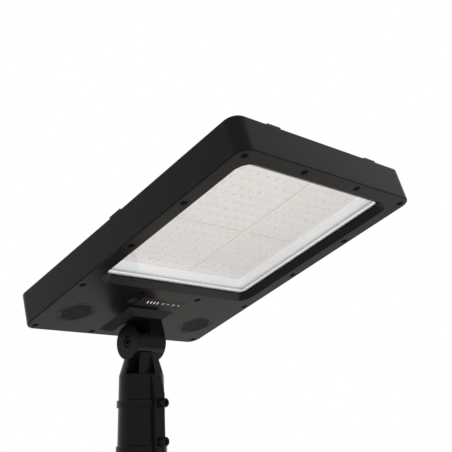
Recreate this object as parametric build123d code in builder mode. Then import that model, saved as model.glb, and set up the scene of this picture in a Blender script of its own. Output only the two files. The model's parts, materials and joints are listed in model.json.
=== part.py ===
"""Solar street light: flat lamp head on a toothed knuckle over a slip fitter for a 60 mm pole end.

Row frame: millimetres, +Z up along the pole, -Y towards the free end of the head, +X across it.
The origin is on the pole axis at the mouth of the slip fitter.
The head is drawn in its own frame: x across, y towards the pole, z up from its underside.
"""
from build123d import *
from math import copysign, cos, hypot, pi, radians, sin
import os

os.makedirs("parts", exist_ok=True)

# Running and seating clearances
running_gap = 0.06
seat_gap = 0.3
hole_gap = 0.1

# Aim of the head
tilt = 18.0
tooth_count = 60

# Slip fitter
bore_radius = 32.0
bore_depth = 122.0
fitter_low_radius = 43.2
fitter_top_radius = 40.4
fitter_shoulder_height = 137.4
pivot_height = 197.0
neck_rim_radius = 28.4
neck_rim_drop = 20.0
neck_flat = 28.0
neck_flat_turn = 10.0
low_ring_radius = 45.4
low_ring_height = 15.0
mid_ring_radius = 44.4
mid_ring_height = 13.0
mid_ring_level = 81.0
ring_round = 1.4
neck_cavity_radius = 22.0
neck_cavity_height = 14.0
pad_width = 22.0
pad_reach = 53.5
pad_full_height = 98.0
pad_round = 2.5

# Knuckle
knuckle_radius = 32.0
knuckle_half_width = 32.4
knuckle_gap = 1.5
ear_gap = 0.3
web_side = 24.5
web_front = 28.5
web_plate = 4.0
web_round = 2.0
web_hollow = 12.0
side_pocket_front = 4.7
side_pocket_height = 24.0
top_pocket_side = 30.2
top_pocket_level = 14.0
top_pocket_rear = 14.0
top_pocket_wall = 4.4
tooth_inner_radius = 13.0
tooth_outer_radius = 26.0
tooth_height = 1.5
tooth_lift = 0.2
tooth_root = 0.2
knuckle_edge = 1.0

# Pivot bolt, nut and washer
pivot_bolt_radius = 6.0
pivot_head_radius = 9.0
pivot_head_height = 12.0
pivot_head_recess = 0.5
pivot_head_round = 0.8
pivot_socket = 10.0
pivot_counterbore_radius = 11.0
pivot_nut_flats = 19.0
pivot_nut_height = 10.0
pivot_washer_radius = 12.0
pivot_washer_thickness = 2.5
nut_pocket_depth = 14.0

# Set bolts in the pad
set_bolt_radius = 5.0
set_bolt_levels = (20.6, 86.2)
set_bolt_tip_setback = 1.0
set_bolt_head_radius = 8.0
set_bolt_head_height = 6.5
set_bolt_head_round = 0.8
set_bolt_head_start = 61.0
set_bolt_socket = 8.0
set_nut_flats = 15.0
set_nut_height = 6.0

# Lamp head, outer box
head_width = 400.0
head_length = 578.0
head_height = 60.0
corner_radius = 21.0
edge_round = 2.5
wall = 3.0
cover_thickness = 4.0
deck_level = 52.0
deck_thickness = 3.0
rim_width = 8.0
pivot_setback = 68.6
pivot_drop = 44.7

# Cover screws
screw_boss_radius = 5.0
cover_screw_radius = 2.0
cover_screw_head_radius = 4.6
cover_screw_head_height = 1.8
cover_screw_recess_radius = 6.0
cover_screw_sink = 2.2
cover_screw_length = 13.0
corner_screw_insets = (16.0, 15.5)
side_screw_inset = 12.5
side_screw_shares = (-0.251, -0.026)
end_screw_share = 0.155
end_screw_inset = 12.0
mid_screw_share = 0.161
mid_screw_setback = 170.0
cover_gasket_width = 3.0
cover_gasket_depth = 1.2
cover_gasket_inset = 3.5
flange_lap = 1.0

# Window
window_front_margin = 38.5
window_rear_margin = 198.5
window_side_margin = 39.0
window_radius = 12.0
recess_depth = 10.0
recess_flare = 12.0
recess_lip = 0.8
window_frame_margin = 19.0
lens_overlap = 7.0
lens_thickness = 4.0
lens_gasket_thickness = 1.0
lens_gasket_setback = 1.0
lens_radius = 8.0

# Reflector tray
tray_sheet = 1.5
tray_margin = 2.0
tray_step = 1.5
tray_step_level = 23.0
tray_flange_inset = 1.0
tray_screw_radius = 1.5
tray_screw_head_radius = 2.8
tray_screw_head_height = 1.6
tray_screw_length = 7.0
tray_screw_inset = 5.5

# LED boards and heat spreader
board_level = 42.0
board_thickness = 1.6
board_margin = 4.0
board_joint_x = 38.4
board_joint_shift = 26.0
board_joint_gap = 1.2
led_pitch = 19.7
led_joint_offset = 10.0
led_size = 3.5
led_height = 0.8
led_edge_room = 6.0
spreader_thickness = 3.0
spreader_margin = 14.0
spreader_screw_inset = 5.0
spreader_screw_pitch = 100.0
spreader_screw_count = 4
spreader_boss_radius = 4.5
small_screw_radius = 1.5
small_screw_head_radius = 2.8
small_screw_head_height = 2.0
small_screw_bite = 2.0
small_screw_length = 8.0

# Solar module
backsheet_thickness = 0.4
cell_thickness = 0.4
glass_thickness = 3.2
seal_width = 2.0
seal_setback = 0.4
glass_round = 0.6
cell_columns = 4
cell_rows = 9
cell_margin = 5.5
cell_gap = 1.0

# Module clips
clip_length = 28.0
clip_thickness = 2.6
clip_setback = 1.0
clip_overlap = 5.0
clip_end_x = 115.0
clip_side_y = -6.0
clip_round = 0.6
clip_screw_inset = 4.5
clip_screw_sink = 1.7
clip_screw_radius = 1.5
clip_screw_head_radius = 2.8
clip_screw_head_height = 1.6
clip_screw_length = 5.0

# Batteries
cell_can_radius = 16.0
cell_can_length = 70.0
cell_can_pitch = 34.0
cells_per_bank = 4
bank_inset = 80.0
bank_setback = 94.0
bank_level = 30.0
cap_radius = 5.0
cap_height = 1.5
cradle_margin = 4.0
cradle_low = 33.0
strap_width = 12.0
strap_sheet = 1.5
strap_foot = 12.0

# Charge controller
controller_width = 104.0
controller_length = 108.0
controller_setback = 93.0
controller_level = 38.0
controller_screw_inset = 5.0
spacer_radius = 4.0
controller_blocks = (
    (-30.0, 42.0, 22.0, 10.0, 11.0),
    (0.0, 42.0, 22.0, 10.0, 11.0),
    (30.0, 20.0, 14.0, 14.0, 7.0),
    (-30.0, 6.0, 16.0, 20.0, 3.0),
    (4.0, -8.0, 9.0, 9.0, 1.5),
)
capacitor_places = ((-10.0, 20.0), (4.0, 20.0), (34.0, -18.0))
capacitor_radius = 5.0
capacitor_height = 12.0

# Bracket and its fasteners
pedestal_width = 104.0
pedestal_length = 94.8
pedestal_flat_width = 67.2
pedestal_flat_length = 65.6
pedestal_height = 9.5
weld = 1.0
bracket_screw_radius = 3.0
bracket_screw_spacing = 48.0
bracket_screw_depth = 7.0
bracket_screw_head_radius = 5.2
bracket_screw_head_height = 4.0
backing_width = 100.0
backing_length = 88.0
backing_thickness = 3.0

# Indicator panel
indicator_width = 100.0
indicator_length = 30.0
indicator_setback = 141.0
indicator_thickness = 1.0
indicator_board_margin = 2.0
bar_xs = (-29.0, -21.5, -14.0, -6.5)
mark_xs = (6.5, 18.0, 30.5, 43.0)
indicator_led_radius = 1.4

# Push button
button_x = -64.0
button_radius = 6.0
button_travel = 1.2
button_proud = 0.4
button_depth = 4.0
button_round = 0.5
stem_radius = 2.0
stem_end = 0.4
bezel_radius = 9.8
bezel_flange = 1.2
bezel_round = 0.5
barrel_radius = 8.0
barrel_top = 10.5
barrel_floor = 2.0
bezel_nut_flats = 20.0
bezel_nut_height = 3.0
retainer_radius = 3.4
retainer_thickness = 0.8
spring_radius = 4.0
spring_wire = 0.8
contact_size = 20.0
contact_height = 13.0
contact_clear = 0.3

# Vent grilles
grille_inset = 61.0
grille_setback = 77.0
grille_radius = 30.2
grille_thickness = 1.2
grille_sink = 0.6
grille_ledge = 1.6
grille_hole_radius = 1.85
grille_pitch = 5.0
grille_hole_reach = 26.9
groove_radius = 34.6
groove_width = 1.2
groove_depth = 0.8
membrane_thickness = 0.5

# Worked out levels
deck_top = deck_level + deck_thickness
module_top = deck_top + backsheet_thickness + cell_thickness + glass_thickness
gasket_level = recess_depth
lens_level = gasket_level + lens_gasket_thickness
window_width = head_width - 2 * window_side_margin
window_length = head_length - window_front_margin - window_rear_margin
window_y = (window_front_margin - window_rear_margin) / 2
window_frame_width = window_width + 2 * window_frame_margin
window_frame_length = window_length + 2 * window_frame_margin
lens_width = window_width + 2 * lens_overlap
lens_length = window_length + 2 * lens_overlap
tray_level = lens_level + lens_thickness
spreader_level = board_level + board_thickness
spreader_top = spreader_level + spreader_thickness
controller_top = controller_level + board_thickness
board_width = window_width + 2 * board_margin
board_length = window_length + 2 * board_margin
board_joint_y = window_y + board_joint_shift
spreader_width = window_width + 2 * spreader_margin
spreader_length = window_length + 2 * spreader_margin
neck_top = pivot_height - knuckle_radius - knuckle_gap
neck_rim_height = pivot_height - neck_rim_drop
neck_pocket_floor = neck_top - side_pocket_height
module_width = head_width - 2 * (rim_width + seal_width)
module_length = head_length - 2 * (rim_width + seal_width)
module_radius = corner_radius - rim_width - seal_width
inner_width = head_width - 2 * wall
inner_length = head_length - 2 * wall
cell_width = (module_width - 2 * cell_margin + cell_gap) / cell_columns - cell_gap
cell_length = (module_length - 2 * cell_margin + cell_gap) / cell_rows - cell_gap

# Worked out places across the head and along it
pivot_rear = head_length / 2 - pivot_setback
corner_screw_x = head_width / 2 - corner_screw_insets[0]
corner_screw_y = head_length / 2 - corner_screw_insets[1]
side_screw_x = head_width / 2 - side_screw_inset
mid_screw_y = head_length / 2 - mid_screw_setback
side_screw_ys = [head_length * share for share in side_screw_shares] + [mid_screw_y]
end_screw_x = head_width * end_screw_share
end_screw_y = head_length / 2 - end_screw_inset
mid_screw_x = head_width * mid_screw_share
spreader_screw_x = spreader_width / 2 - spreader_screw_inset
bank_x = head_width / 2 - bank_inset
bank_y = head_length / 2 - bank_setback
controller_y = head_length / 2 - controller_setback
indicator_y = head_length / 2 - indicator_setback
button_y = indicator_y
grille_x = head_width / 2 - grille_inset
grille_y = head_length / 2 - grille_setback

# Planes: the knuckle's axis runs along X through the pivot, and the head is tilted about it
tilted = {"x_dir": (1, 0, 0), "z_dir": (0, sin(radians(tilt)), cos(radians(tilt)))}
pivot_plane = Plane(origin=(0, 0, pivot_height), **tilted)
head = Plane(origin=pivot_plane.from_local_coords((0, -pivot_rear, pivot_drop)), **tilted)
head_up = Axis(head.origin, head.z_dir)
knuckle_axis = Axis((0, 0, pivot_height), (1, 0, 0))


def head_level(height):
    """Plane parallel to the underside, at a height above it."""
    return head.offset(height)


def head_across(x):
    """Plane that faces +X at x, with its own x towards the pole and its own y up from the underside."""
    return Plane(origin=head.from_local_coords((x, 0, 0)), x_dir=head.y_dir, z_dir=head.x_dir)


def knuckle_across(x):
    """Plane that faces +X at x, centred on the pivot and turned with the head."""
    return Plane(origin=(x, 0, pivot_height), x_dir=head.y_dir, z_dir=head.x_dir)


def fitter_across(x):
    """Plane that faces +X at x, centred on the pivot and square to the pole."""
    return Plane(origin=(x, 0, pivot_height), x_dir=(0, 1, 0), z_dir=(1, 0, 0))


def save(piece, name):
    """Label a finished piece and write it to its own file."""
    piece.part.label = name
    export_step(piece.part, f"parts/{name}.step")


# Places shared by the cover and the housing
cover_screw_places = [(sx * corner_screw_x, sy * corner_screw_y) for sx in (-1, 1) for sy in (-1, 1)]
cover_screw_places += [(sx * side_screw_x, y) for sx in (-1, 1) for y in side_screw_ys]
cover_screw_places += [(sx * end_screw_x, sy * end_screw_y) for sx in (-1, 1) for sy in (-1, 1)]
cover_screw_places += [(sx * mid_screw_x, mid_screw_y) for sx in (-1, 1)]
spreader_screw_places = [
    (sx * spreader_screw_x, window_y + spreader_screw_pitch * (i - (spreader_screw_count - 1) / 2))
    for sx in (-1, 1)
    for i in range(spreader_screw_count)
]
controller_screw_places = [
    (sx * (controller_width / 2 - controller_screw_inset),
     controller_y + sy * (controller_length / 2 - controller_screw_inset))
    for sx in (-1, 1)
    for sy in (-1, 1)
]
bracket_screw_places = [
    (sx * bracket_screw_spacing / 2, pivot_rear + sy * bracket_screw_spacing / 2)
    for sx in (-1, 1)
    for sy in (-1, 1)
]
tray_screw_places = [
    (sx * (window_frame_width / 2 - tray_screw_inset), window_y + window_frame_length * share)
    for sx in (-1, 1)
    for share in (-0.36, -0.12, 0.12, 0.36)
]
tray_screw_places += [
    (window_frame_width * share, window_y + sy * (window_frame_length / 2 - tray_screw_inset))
    for sy in (-1, 1)
    for share in (-0.3, 0.0, 0.3)
]
bank_half = cell_can_pitch * (cells_per_bank - 1) / 2 + cell_can_radius
strap_leg = bank_half + cradle_margin + strap_sheet
strap_screw_reach = strap_leg + strap_foot / 2
strap_screw_places = [
    (sx * bank_x, bank_y + sy * strap_screw_reach) for sx in (-1, 1) for sy in (-1, 1)
]
clip_places = [(sx * clip_end_x, sy * head_length / 2, True) for sx in (-1, 1) for sy in (-1, 1)]
clip_places += [(sx * head_width / 2, clip_side_y, False) for sx in (-1, 1)]
clip_screw_places = [
    (x, copysign(head_length / 2 - clip_screw_inset, y)) if along_x
    else (copysign(head_width / 2 - clip_screw_inset, x), y)
    for x, y, along_x in clip_places
]
indicator_led_places = [(x, indicator_y) for x in bar_xs + mark_xs]
grille_places = [(-grille_x, grille_y), (grille_x, grille_y)]
cell_ys = [bank_y + cell_can_pitch * (i - (cells_per_bank - 1) / 2) for i in range(cells_per_bank)]


# One tooth of the knuckle's faces: it stands 0.2 into x = 0 and points to -X
with BuildPart() as tooth:
    for reach in (tooth_inner_radius, tooth_outer_radius):
        half_width = 0.95 * pi * reach / tooth_count
        rise = tooth_height * reach / tooth_outer_radius
        with BuildSketch(Plane(origin=(0, 0, reach), x_dir=(0, 1, 0), z_dir=(0, 0, 1))):
            with BuildLine():
                Polyline((-half_width, -tooth_root), (half_width, -tooth_root), (0, rise), close=True)
            make_face()
    loft()


def tooth_ring(face_x, pointing):
    """Ring of teeth about the pivot axis, on the plane x = face_x and pointing to +X or -X."""
    single = tooth.part.mirror(Plane.YZ) if pointing > 0 else tooth.part
    turned = [single.rotate(Axis.X, 360 * step / tooth_count) for step in range(tooth_count)]
    return [copy.moved(Location((face_x, 0, pivot_height))) for copy in turned]


def circles_of(builder, radius):
    """Round edges of one radius."""
    rounds = builder.edges().filter_by(GeomType.CIRCLE)
    return rounds.filter_by(lambda edge: abs(edge.radius - radius) < 0.001)


def pad_face(level, reach):
    """Plane square to the pad at a distance in front of the pole axis."""
    return Plane(origin=(0, -reach, level), x_dir=(1, 0, 0), z_dir=(0, -1, 0))


def screw_group(places, seat, drive, length, radius, head_radius, head_height):
    """Socket screws in the head, seated at one level and driven up (1) or down (-1)."""
    with BuildPart() as screws:
        with BuildSketch(head_level(seat)):
            with Locations(*places):
                Circle(radius)
        extrude(amount=drive * length)
        with BuildSketch(head_level(seat)):
            with Locations(*places):
                Circle(head_radius)
        extrude(amount=-drive * head_height)
        with BuildSketch(head_level(seat - drive * head_height)):
            with Locations(*places):
                RegularPolygon(head_radius / 2, 6, major_radius=False)
        extrude(amount=drive * head_height / 2, mode=Mode.SUBTRACT)
    return screws


# Slip fitter: tapered socket, neck, front pad and the pole's half of the knuckle barrel
tooth_floor = ear_gap + 2 * tooth_height - tooth_lift
with BuildPart() as fitter_barrel:
    with BuildSketch(fitter_across(-knuckle_half_width)):
        Circle(knuckle_radius)
    extrude(amount=knuckle_half_width - ear_gap)
    fillet(fitter_barrel.edges().group_by(Axis.X)[0], knuckle_edge)
with BuildPart() as slip_fitter:
    with BuildSketch(Plane.XZ):
        with BuildLine():
            Polyline(
                (0, 0),
                (fitter_low_radius, 0),
                (fitter_top_radius, fitter_shoulder_height),
                (neck_rim_radius, neck_rim_height),
                (0, neck_rim_height),
                close=True,
            )
        make_face()
    revolve(axis=Axis.Z)
    # Two raised rings
    for level, height, radius in (
        (0, low_ring_height, low_ring_radius),
        (mid_ring_level, mid_ring_height, mid_ring_radius),
    ):
        with BuildSketch(Plane.XY.offset(level)):
            Circle(radius)
        extrude(amount=height)
        fillet(circles_of(slip_fitter, radius), ring_round)
    # Front pad, flat below and ramped into the body above
    with BuildSketch(Plane.YZ.offset(-pad_width / 2)):
        with BuildLine():
            Polyline(
                (-bore_radius, 0),
                (-pad_reach, 0),
                (-pad_reach, pad_full_height),
                (-fitter_top_radius, fitter_shoulder_height),
                (-bore_radius, fitter_shoulder_height),
                close=True,
            )
        make_face()
    extrude(amount=pad_width)
    fillet(slip_fitter.edges().filter_by(Axis.Z).group_by(Axis.Y)[0], pad_round)
    # Flat front of the neck, and a pocket in its side with the web's front plate left standing
    with BuildSketch(Plane.XY.offset(neck_pocket_floor)):
        with Locations((-fitter_top_radius, -side_pocket_front)):
            Rectangle(fitter_top_radius - web_side, fitter_top_radius, align=(Align.MIN, Align.MAX))
        with Locations((-fitter_top_radius, -web_front)):
            Rectangle(fitter_top_radius - ear_gap, fitter_top_radius, align=(Align.MIN, Align.MAX))
        with Locations(Location((-ear_gap, -neck_flat), neck_flat_turn)):
            Rectangle(2 * fitter_top_radius, fitter_top_radius, align=(Align.MIN, Align.MAX))
    extrude(amount=neck_rim_height - neck_pocket_floor, mode=Mode.SUBTRACT)
    with BuildSketch(Plane.XY.offset(neck_pocket_floor)) as web_outline:
        with Locations((-web_side, -web_front)):
            Rectangle(web_side - ear_gap, web_front, align=(Align.MIN, Align.MIN))
        fillet(web_outline.vertices().group_by(Axis.X)[0].sort_by(Axis.Y)[0], web_round)
    extrude(amount=neck_rim_height - neck_pocket_floor)
    with BuildSketch(Plane.XY.offset(neck_pocket_floor)):
        with Locations((-web_side, -web_front + web_plate)):
            Rectangle(
                web_side - web_hollow,
                web_front - web_plate - side_pocket_front,
                align=(Align.MIN, Align.MIN),
            )
    extrude(amount=neck_rim_height - neck_pocket_floor, mode=Mode.SUBTRACT)
    # Saddle under the head's half of the barrel, open to the rear for the leg
    with BuildSketch(fitter_across(-ear_gap)):
        Circle(knuckle_radius + knuckle_gap)
        with Locations((0, -knuckle_radius - knuckle_gap)):
            Rectangle(2 * knuckle_radius, 2 * knuckle_radius, align=(Align.MIN, Align.MIN))
    extrude(amount=fitter_top_radius, mode=Mode.SUBTRACT)
    add(fitter_barrel)
    # Pocket in the top of the barrel, open to the front
    with BuildSketch(fitter_across(-top_pocket_side)):
        with Locations((top_pocket_rear, top_pocket_level)):
            Rectangle(2 * knuckle_radius, knuckle_radius, align=(Align.MAX, Align.MIN))
    extrude(amount=top_pocket_side - top_pocket_wall, mode=Mode.SUBTRACT)
    # Bolt bore, counterbore and the recess that holds the teeth
    for start, length, radius in (
        (-knuckle_half_width, knuckle_half_width, pivot_bolt_radius + running_gap),
        (-knuckle_half_width, pivot_head_height + pivot_head_recess, pivot_counterbore_radius),
    ):
        with BuildSketch(fitter_across(start)):
            Circle(radius)
        extrude(amount=length, mode=Mode.SUBTRACT)
    with BuildSketch(fitter_across(-tooth_floor)):
        Circle(tooth_outer_radius + tooth_height)
        Circle(tooth_inner_radius - tooth_height, mode=Mode.SUBTRACT)
    extrude(amount=tooth_floor, mode=Mode.SUBTRACT)
    add(tooth_ring(-tooth_floor, 1))
    # Socket for the pole end and the hollow neck above it
    with BuildSketch(Plane.XY):
        Circle(bore_radius)
    extrude(amount=bore_depth, mode=Mode.SUBTRACT)
    with BuildSketch(Plane.XY.offset(bore_depth)):
        Circle(neck_cavity_radius)
    extrude(amount=neck_cavity_height, mode=Mode.SUBTRACT)
    # Set bolt holes
    for level in set_bolt_levels:
        with BuildSketch(pad_face(level, 0)):
            Circle(set_bolt_radius + hole_gap)
        extrude(amount=pad_reach, mode=Mode.SUBTRACT)
save(slip_fitter, "slip_fitter")


# Head bracket: bevelled pedestal, leg and the head's half of the knuckle barrel
leg_height = pivot_drop - pedestal_height + weld
with BuildPart() as head_bracket:
    with BuildSketch(knuckle_across(ear_gap)):
        Circle(knuckle_radius)
        with Locations((0, leg_height / 2)):
            Rectangle(2 * knuckle_radius, leg_height)
    extrude(amount=knuckle_half_width - ear_gap)
    outer_rim = head_bracket.edges().group_by(Axis.X)[-1]
    fillet(outer_rim.sort_by(head_up)[:-1], knuckle_edge)
    with BuildSketch(head_level(0)):
        with Locations((0, pivot_rear)):
            Rectangle(pedestal_width, pedestal_length)
    with BuildSketch(head_level(-pedestal_height)):
        with Locations((0, pivot_rear)):
            Rectangle(pedestal_flat_width, pedestal_flat_length)
    loft()
    add([copy.rotate(knuckle_axis, -tilt) for copy in tooth_ring(ear_gap, -1)])
    for start, length, radius in (
        (-knuckle_half_width, 2 * knuckle_half_width, pivot_bolt_radius + running_gap),
        (knuckle_half_width - nut_pocket_depth, nut_pocket_depth, pivot_washer_radius + seat_gap),
    ):
        with BuildSketch(knuckle_across(start)):
            Circle(radius)
        extrude(amount=length, mode=Mode.SUBTRACT)
    with BuildSketch(head_level(-bracket_screw_depth)):
        with Locations(*bracket_screw_places):
            Circle(bracket_screw_radius + hole_gap)
    extrude(amount=bracket_screw_depth, mode=Mode.SUBTRACT)
save(head_bracket, "head_bracket")


# Pivot bolt, washer and nut
pivot_head_face = knuckle_half_width - pivot_head_recess
pivot_seat = pivot_head_face - pivot_head_height
nut_floor = knuckle_half_width - nut_pocket_depth
nut_seat = nut_floor + pivot_washer_thickness
with BuildPart() as pivot_bolt:
    with BuildSketch(fitter_across(-pivot_head_face)):
        Circle(pivot_head_radius)
    extrude(amount=pivot_head_height)
    fillet(pivot_bolt.edges().group_by(Axis.X)[0], pivot_head_round)
    with BuildSketch(fitter_across(-pivot_seat)):
        Circle(pivot_bolt_radius)
    extrude(amount=pivot_seat + nut_seat + pivot_nut_height)
    with BuildSketch(fitter_across(-pivot_head_face)):
        RegularPolygon(pivot_socket / 2, 6, major_radius=False)
    extrude(amount=pivot_head_height / 2, mode=Mode.SUBTRACT)
save(pivot_bolt, "pivot_bolt")

with BuildPart() as pivot_washer:
    with BuildSketch(fitter_across(nut_floor)):
        Circle(pivot_washer_radius)
        Circle(pivot_bolt_radius + running_gap, mode=Mode.SUBTRACT)
    extrude(amount=pivot_washer_thickness)
save(pivot_washer, "pivot_washer")

with BuildPart() as pivot_nut:
    with BuildSketch(fitter_across(nut_seat)):
        RegularPolygon(pivot_nut_flats / 2, 6, major_radius=False)
        Circle(pivot_bolt_radius + running_gap, mode=Mode.SUBTRACT)
    extrude(amount=pivot_nut_height)
save(pivot_nut, "pivot_nut")


# Set bolts and their lock nuts on the pad
with BuildPart() as set_bolts:
    for level in set_bolt_levels:
        with BuildSketch(pad_face(level, bore_radius + set_bolt_tip_setback)):
            Circle(set_bolt_radius)
        extrude(amount=set_bolt_head_start - bore_radius - set_bolt_tip_setback)
        with BuildSketch(pad_face(level, set_bolt_head_start)):
            Circle(set_bolt_head_radius)
        extrude(amount=set_bolt_head_height)
    fillet(circles_of(set_bolts, set_bolt_head_radius).group_by(Axis.Y)[0], set_bolt_head_round)
    for level in set_bolt_levels:
        with BuildSketch(pad_face(level, set_bolt_head_start + set_bolt_head_height / 2)):
            RegularPolygon(set_bolt_socket / 2, 6, major_radius=False)
        extrude(amount=set_bolt_head_height / 2, mode=Mode.SUBTRACT)
save(set_bolts, "tenon_set_bolts")

with BuildPart() as set_nuts:
    for level in set_bolt_levels:
        with BuildSketch(pad_face(level, pad_reach)):
            RegularPolygon(set_nut_flats / 2, 6, major_radius=False)
            Circle(set_bolt_radius + running_gap, mode=Mode.SUBTRACT)
        extrude(amount=set_nut_height)
save(set_nuts, "set_bolt_nuts")


# Housing: box open below, with a deck that carries the solar module and bosses for what hangs inside
flange_reach = cover_gasket_inset + cover_gasket_width + flange_lap
with BuildPart() as housing:
    with BuildSketch(head_level(cover_thickness)):
        RectangleRounded(head_width, head_length, corner_radius)
    extrude(amount=head_height - cover_thickness)
    fillet(housing.faces().sort_by(head_up)[-1].edges(), edge_round)
    with BuildSketch(head_level(cover_thickness)):
        RectangleRounded(inner_width, inner_length, corner_radius - wall)
    extrude(amount=deck_level - cover_thickness, mode=Mode.SUBTRACT)
    with BuildSketch(head_level(deck_top)):
        RectangleRounded(head_width - 2 * rim_width, head_length - 2 * rim_width, corner_radius - rim_width)
    extrude(amount=head_height - deck_top, mode=Mode.SUBTRACT)
    # Inner flange that meets the cover gasket
    with BuildSketch(head_level(cover_thickness)):
        RectangleRounded(inner_width, inner_length, corner_radius - wall)
        RectangleRounded(
            head_width - 2 * flange_reach,
            head_length - 2 * flange_reach,
            corner_radius - flange_reach,
            mode=Mode.SUBTRACT,
        )
    extrude(amount=wall)
    # Bosses for the cover screws, ribbed to the nearest walls
    with BuildSketch(head_level(cover_thickness)):
        with Locations(*cover_screw_places):
            Circle(screw_boss_radius)
        for x, y in cover_screw_places:
            side = copysign(1, x)
            end = copysign(1, y)
            if inner_width / 2 - abs(x) < corner_radius:
                with Locations((side * (inner_width / 2 + abs(x)) / 2, y)):
                    Rectangle(inner_width / 2 - abs(x), wall)
            if inner_length / 2 - abs(y) < corner_radius:
                with Locations((x, end * (inner_length / 2 + abs(y)) / 2)):
                    Rectangle(wall, inner_length / 2 - abs(y))
    extrude(amount=deck_level - cover_thickness)
    # Pillars for the heat spreader and the charge controller
    for level, places, radius in (
        (spreader_top, spreader_screw_places, spreader_boss_radius),
        (controller_top, controller_screw_places, spacer_radius),
    ):
        with BuildSketch(head_level(level)):
            with Locations(*places):
                Circle(radius)
        extrude(amount=deck_level - level)
    # Screw holes
    for level, places, radius, depth in (
        (cover_thickness, cover_screw_places, cover_screw_radius, cover_screw_length),
        (spreader_top, spreader_screw_places, small_screw_radius, deck_level - spreader_top),
        (controller_top, controller_screw_places, small_screw_radius, small_screw_length),
        (deck_level, strap_screw_places, small_screw_radius, small_screw_bite),
        (head_height - clip_screw_length, clip_screw_places, clip_screw_radius, clip_screw_length),
    ):
        with BuildSketch(head_level(level)):
            with Locations(*places):
                Circle(radius + hole_gap)
        extrude(amount=depth + hole_gap, mode=Mode.SUBTRACT)
save(housing, "housing")


# Bottom cover: plate with the window recess, and seats for the panel, the button and the grilles
with BuildPart() as bottom_cover:
    with BuildSketch(head_level(0)):
        RectangleRounded(head_width, head_length, corner_radius)
    extrude(amount=cover_thickness)
    fillet(bottom_cover.faces().sort_by(head_up)[0].edges(), edge_round)
    with BuildSketch(head_level(cover_thickness)):
        with Locations((0, window_y)):
            RectangleRounded(window_frame_width, window_frame_length, 2 * window_radius)
    extrude(amount=tray_level - cover_thickness)
    # Sloped walls of the recess, its lip and the pocket of the lens
    with BuildSketch(head_level(0)):
        with Locations((0, window_y)):
            RectangleRounded(
                window_width + 2 * recess_flare,
                window_length + 2 * recess_flare,
                window_radius + recess_flare,
            )
    with BuildSketch(head_level(recess_depth - recess_lip)):
        with Locations((0, window_y)):
            RectangleRounded(window_width, window_length, window_radius)
    loft(mode=Mode.SUBTRACT)
    with BuildSketch(head_level(recess_depth - recess_lip)):
        with Locations((0, window_y)):
            RectangleRounded(window_width, window_length, window_radius)
    extrude(amount=recess_lip, mode=Mode.SUBTRACT)
    with BuildSketch(head_level(gasket_level)):
        with Locations((0, window_y)):
            RectangleRounded(
                lens_width + 2 * seat_gap, lens_length + 2 * seat_gap, lens_radius + seat_gap
            )
    extrude(amount=tray_level - gasket_level, mode=Mode.SUBTRACT)
    # Groove of the cover gasket
    with BuildSketch(head_level(cover_thickness - cover_gasket_depth)):
        RectangleRounded(
            head_width - 2 * cover_gasket_inset,
            head_length - 2 * cover_gasket_inset,
            corner_radius - cover_gasket_inset,
        )
        RectangleRounded(
            head_width - 2 * (cover_gasket_inset + cover_gasket_width),
            head_length - 2 * (cover_gasket_inset + cover_gasket_width),
            corner_radius - cover_gasket_inset - cover_gasket_width,
            mode=Mode.SUBTRACT,
        )
    extrude(amount=cover_gasket_depth, mode=Mode.SUBTRACT)
    # Indicator panel pocket
    with BuildSketch(head_level(0)):
        with Locations((0, indicator_y)):
            Rectangle(indicator_width + 2 * hole_gap, indicator_length + 2 * hole_gap)
    extrude(amount=indicator_thickness, mode=Mode.SUBTRACT)
    # Round holes: place, start, radius and depth
    for places, start, radius, depth in (
        (indicator_led_places, 0, indicator_led_radius + hole_gap, cover_thickness),
        ([(button_x, button_y)], 0, barrel_radius + hole_gap, cover_thickness),
        (grille_places, 0, grille_radius + hole_gap, grille_sink + grille_thickness),
        (grille_places, 0, grille_radius - grille_ledge, cover_thickness),
        (cover_screw_places, 0, cover_screw_recess_radius, cover_screw_sink),
        (cover_screw_places, 0, cover_screw_radius + hole_gap, cover_thickness),
        (bracket_screw_places, 0, bracket_screw_radius + hole_gap, cover_thickness),
        (tray_screw_places, tray_level - tray_screw_length, tray_screw_radius + hole_gap, tray_screw_length),
    ):
        with BuildSketch(head_level(start)):
            with Locations(*places):
                Circle(radius)
        extrude(amount=depth, mode=Mode.SUBTRACT)
    # Shallow groove round each grille
    with BuildSketch(head_level(0)):
        with Locations(*grille_places):
            Circle(groove_radius + groove_width / 2)
            Circle(groove_radius - groove_width / 2, mode=Mode.SUBTRACT)
    extrude(amount=groove_depth, mode=Mode.SUBTRACT)
save(bottom_cover, "bottom_cover")

with BuildPart() as cover_gasket:
    with BuildSketch(head_level(cover_thickness - cover_gasket_depth)):
        RectangleRounded(
            head_width - 2 * cover_gasket_inset,
            head_length - 2 * cover_gasket_inset,
            corner_radius - cover_gasket_inset,
        )
        RectangleRounded(
            head_width - 2 * (cover_gasket_inset + cover_gasket_width),
            head_length - 2 * (cover_gasket_inset + cover_gasket_width),
            corner_radius - cover_gasket_inset - cover_gasket_width,
            mode=Mode.SUBTRACT,
        )
    extrude(amount=cover_gasket_depth)
save(cover_gasket, "cover_gasket")

cover_screws = screw_group(
    cover_screw_places,
    cover_screw_sink,
    1,
    cover_screw_length,
    cover_screw_radius,
    cover_screw_head_radius,
    cover_screw_head_height,
)
save(cover_screws, "cover_screws")


# Window lens on its gasket, clamped by the tray
with BuildPart() as window_lens:
    with BuildSketch(head_level(lens_level)):
        with Locations((0, window_y)):
            RectangleRounded(lens_width, lens_length, lens_radius)
    extrude(amount=lens_thickness)
save(window_lens, "window_lens")

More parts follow.
